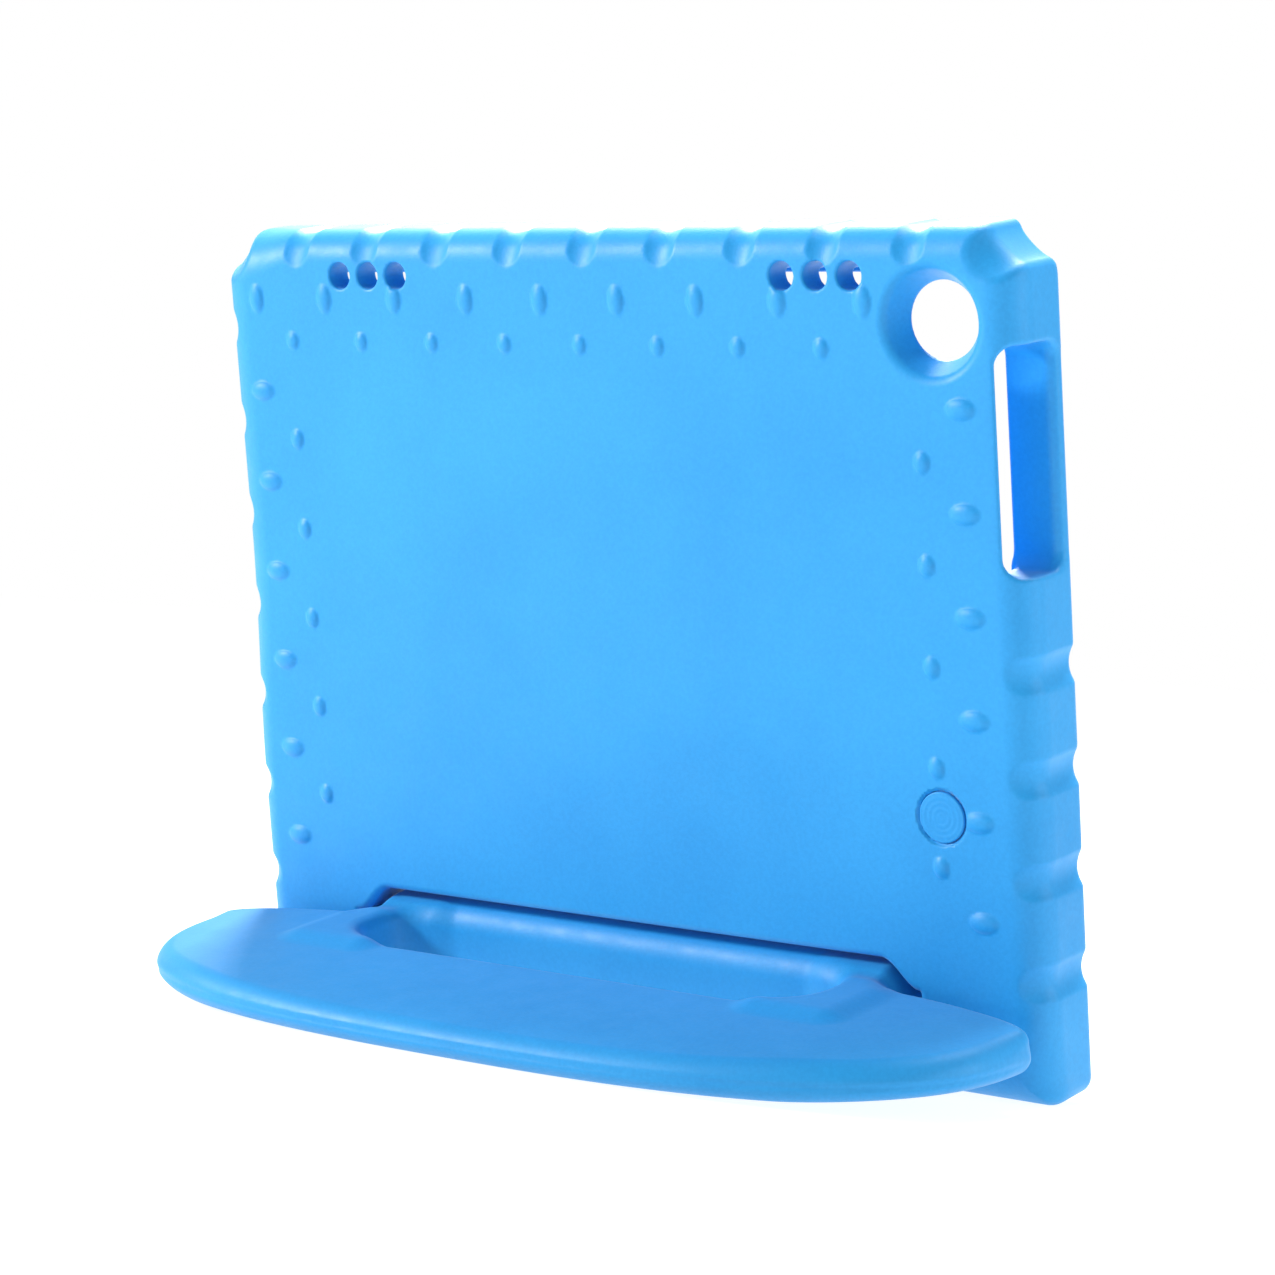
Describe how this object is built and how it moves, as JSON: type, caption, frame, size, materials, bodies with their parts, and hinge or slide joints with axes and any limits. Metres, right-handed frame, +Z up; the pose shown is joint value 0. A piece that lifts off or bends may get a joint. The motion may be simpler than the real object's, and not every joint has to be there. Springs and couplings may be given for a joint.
{
  "type": "tablet case with handle stand",
  "caption": "Thick moulded foam case for a tablet, with a camera opening and a wing-shaped handle that swings out of the lower edge to carry it or stand it up.",
  "frame": {"origin": "centre of the footprint of the standing case, on the surface that it stands on", "axes": "+X along the long edge of the case, towards the camera opening; -Y towards the back of the case and the handle; +Z up. The case leans back over its handle by 12.5 degrees."},
  "size_m": [0.278, 0.1058, 0.2231],
  "materials": {
    "foam": "soft satin foam skin, sky blue",
    "plug": "soft satin foam skin, sky blue",
    "hard_plastic": "matte, dark grey",
    "pin": "drawn steel"
  },
  "bodies": {
    "case": {"case_shell": "foam", "back_plug": "plug", "hinge_socket_left": "hard_plastic", "hinge_socket_right": "hard_plastic"},
    "handle": {"handle_grip": "foam", "handle_core": "hard_plastic", "hinge_pin_left": "pin", "hinge_pin_right": "pin", "hinge_washer_left": "hard_plastic", "hinge_washer_right": "hard_plastic"}
  },
  "joints": [
    {"name": "handle_hinge", "type": "hinge", "parent": "case", "child": "handle", "pos_m": [0, 0.03856, 0.01629], "axis": [1, 0, 0], "range_deg": [-12, 90]}
  ]
}
